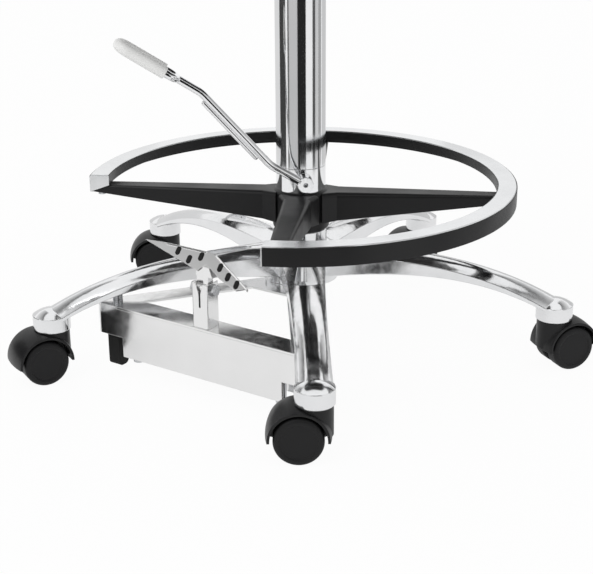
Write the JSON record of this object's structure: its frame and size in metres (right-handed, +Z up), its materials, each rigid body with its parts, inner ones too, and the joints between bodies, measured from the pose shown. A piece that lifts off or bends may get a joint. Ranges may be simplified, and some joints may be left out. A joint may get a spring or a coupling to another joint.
{
  "type": "surgeon chair",
  "caption": "Surgeon chair on a polished star base with twin-wheel casters, foot-operated floor brake, open foot ring, hand lever for the gas lift, padded seat and backrest.",
  "frame": {"origin": "on the floor, on the axis of the column", "axes": "+Z up along the column, the seat faces -Y"},
  "size_m": [0.6522, 0.603, 0.8216],
  "materials": {
    "polished_aluminium": "polished casting, bright",
    "chrome_steel": "chrome plated",
    "bright_sheet": "bright satin sheet steel",
    "plain_steel": "plain turned steel",
    "black_paint": "black semi-gloss coating",
    "bright_tread": "bright satin strip",
    "black_plastic": "black moulded",
    "black_gloss_plastic": "black moulded, semi-gloss",
    "wheel_tread": "black soft tread",
    "black_rubber": "matt rubber",
    "pale_plastic": "pale sleeve",
    "black_upholstery": "black seamless vinyl leather",
    "board": "plywood board, stained dark"
  },
  "bodies": {
    "base": {"brake_arms": "bright_sheet", "brake_bar": "bright_sheet", "brake_post": "bright_sheet", "column_sleeve": "chrome_steel", "foot_ring": "black_paint", "foot_spider": "black_paint", "frame_bolts": "plain_steel", "frame_spacers": "plain_steel", "guide_bolts": "plain_steel", "guide_bush": "black_plastic", "pedal_pin": "plain_steel", "release_collar": "chrome_steel", "return_springs": "plain_steel", "ring_end_caps": "bright_tread", "ring_screws": "plain_steel", "ring_tread": "bright_tread", "rod_support": "plain_steel", "stand_tube": "plain_steel", "star_base": "polished_aluminium", "thrust_washer": "plain_steel"},
    "piston": {"piston_rod": "plain_steel"},
    "seat": {"gas_cylinder": "chrome_steel", "seat_plate": "black_paint", "seat_pan": "board", "seat_cushion": "black_upholstery", "seat_screws": "plain_steel", "back_bar": "chrome_steel", "back_pin": "plain_steel"},
    "backrest": {"back_carrier": "black_paint", "back_cushion": "black_upholstery"},
    "lever": {"release_lever": "chrome_steel", "lever_sleeve": "pale_plastic", "release_shaft": "plain_steel"},
    "plunger": {"release_plunger": "plain_steel"},
    "pedal": {"brake_pedal": "bright_sheet", "pedal_grips": "black_rubber"},
    "brake_carriage": {"push_rod": "plain_steel", "brake_beam": "plain_steel", "brake_feet": "black_rubber"},
    "caster_1": {"caster_hood_1": "black_gloss_plastic", "caster_stem_1": "plain_steel", "caster_axle_1": "plain_steel"},
    "caster_roll_1": {"caster_wheels_1": "wheel_tread"},
    "caster_2": {"caster_hood_2": "black_gloss_plastic", "caster_stem_2": "plain_steel", "caster_axle_2": "plain_steel"},
    "caster_roll_2": {"caster_wheels_2": "wheel_tread"},
    "caster_3": {"caster_hood_3": "black_gloss_plastic", "caster_stem_3": "plain_steel", "caster_axle_3": "plain_steel"},
    "caster_roll_3": {"caster_wheels_3": "wheel_tread"},
    "caster_4": {"caster_hood_4": "black_gloss_plastic", "caster_stem_4": "plain_steel", "caster_axle_4": "plain_steel"},
    "caster_roll_4": {"caster_wheels_4": "wheel_tread"},
    "caster_5": {"caster_hood_5": "black_gloss_plastic", "caster_stem_5": "plain_steel", "caster_axle_5": "plain_steel"},
    "caster_roll_5": {"caster_wheels_5": "wheel_tread"}
  },
  "joints": [
    {"name": "seat_swivel", "type": "hinge", "parent": "base", "child": "piston", "pos_m": [0, 0, 0.2185], "axis": [0, 0, 1], "continuous": true},
    {"name": "seat_lift", "type": "slide", "parent": "piston", "child": "seat", "axis": [0, 0, 1], "range_m": [0, 0.17]},
    {"name": "back_tilt", "type": "hinge", "parent": "seat", "child": "backrest", "pos_m": [0, 0.28, 0.656], "axis": [1, 0, 0], "range_deg": [-8, 8]},
    {"name": "release_turn", "type": "hinge", "parent": "base", "child": "lever", "pos_m": [0, 0, 0.2007], "axis": [0.1184, -0.993, 0], "range_deg": [0, 12], "stiffness_Nm_per_rad": 4, "springref_deg": -8.59},
    {"name": "plunger_lift", "type": "slide", "parent": "base", "child": "plunger", "axis": [0, 0, 1], "range_m": [0, 0.0019]},
    {"name": "pedal_turn", "type": "hinge", "parent": "base", "child": "pedal", "pos_m": [-0.09966, -0.15409, 0.123], "axis": [-0.8331, 0.5531, 0], "range_deg": [0, 40.5]},
    {"name": "brake_slide", "type": "slide", "parent": "base", "child": "brake_carriage", "axis": [0, 0, -1], "range_m": [0, 0.0068], "stiffness_N_per_m": 60, "springref_m": -0.075, "deforming": ["return_springs"]},
    {"name": "caster_swivel_1", "type": "hinge", "parent": "base", "child": "caster_1", "pos_m": [0.01225, -0.28974, 0.058], "axis": [0, 0, 1], "continuous": true},
    {"name": "caster_spin_1", "type": "hinge", "parent": "caster_1", "child": "caster_roll_1", "pos_m": [-0.00326, -0.28974, 0.025], "axis": [0, -1, 0], "continuous": true},
    {"name": "caster_swivel_2", "type": "hinge", "parent": "base", "child": "caster_2", "pos_m": [0.27934, -0.07789, 0.058], "axis": [0, 0, 1], "continuous": true},
    {"name": "caster_spin_2", "type": "hinge", "parent": "caster_2", "child": "caster_roll_2", "pos_m": [0.29372, -0.07208, 0.025], "axis": [-0.3746, 0.9272, 0], "continuous": true},
    {"name": "caster_swivel_3", "type": "hinge", "parent": "base", "child": "caster_3", "pos_m": [0.1604, 0.2416, 0.058], "axis": [0, 0, 1], "continuous": true},
    {"name": "caster_spin_3", "type": "hinge", "parent": "caster_3", "child": "caster_roll_3", "pos_m": [0.14583, 0.2363, 0.025], "axis": [0.342, -0.9397, 0], "continuous": true},
    {"name": "caster_swivel_4", "type": "hinge", "parent": "base", "child": "caster_4", "pos_m": [-0.18021, 0.22721, 0.058], "axis": [0, 0, 1], "continuous": true},
    {"name": "caster_spin_4", "type": "hinge", "parent": "caster_4", "child": "caster_roll_4", "pos_m": [-0.19565, 0.22586, 0.025], "axis": [0.0872, -0.9962, 0], "continuous": true},
    {"name": "caster_swivel_5", "type": "hinge", "parent": "base", "child": "caster_5", "pos_m": [-0.27178, -0.10118, 0.058], "axis": [0, 0, 1], "continuous": true},
    {"name": "caster_spin_5", "type": "hinge", "parent": "caster_5", "child": "caster_roll_5", "pos_m": [-0.28506, -0.10916, 0.025], "axis": [0.515, -0.8572, 0], "continuous": true}
  ],
  "couplings": [
    {"joint": "plunger_lift", "follows": "release_turn", "m_per_rad": 0.008594},
    {"joint": "pedal_turn", "follows": "brake_slide", "rad_per_m": 102.67}
  ]
}
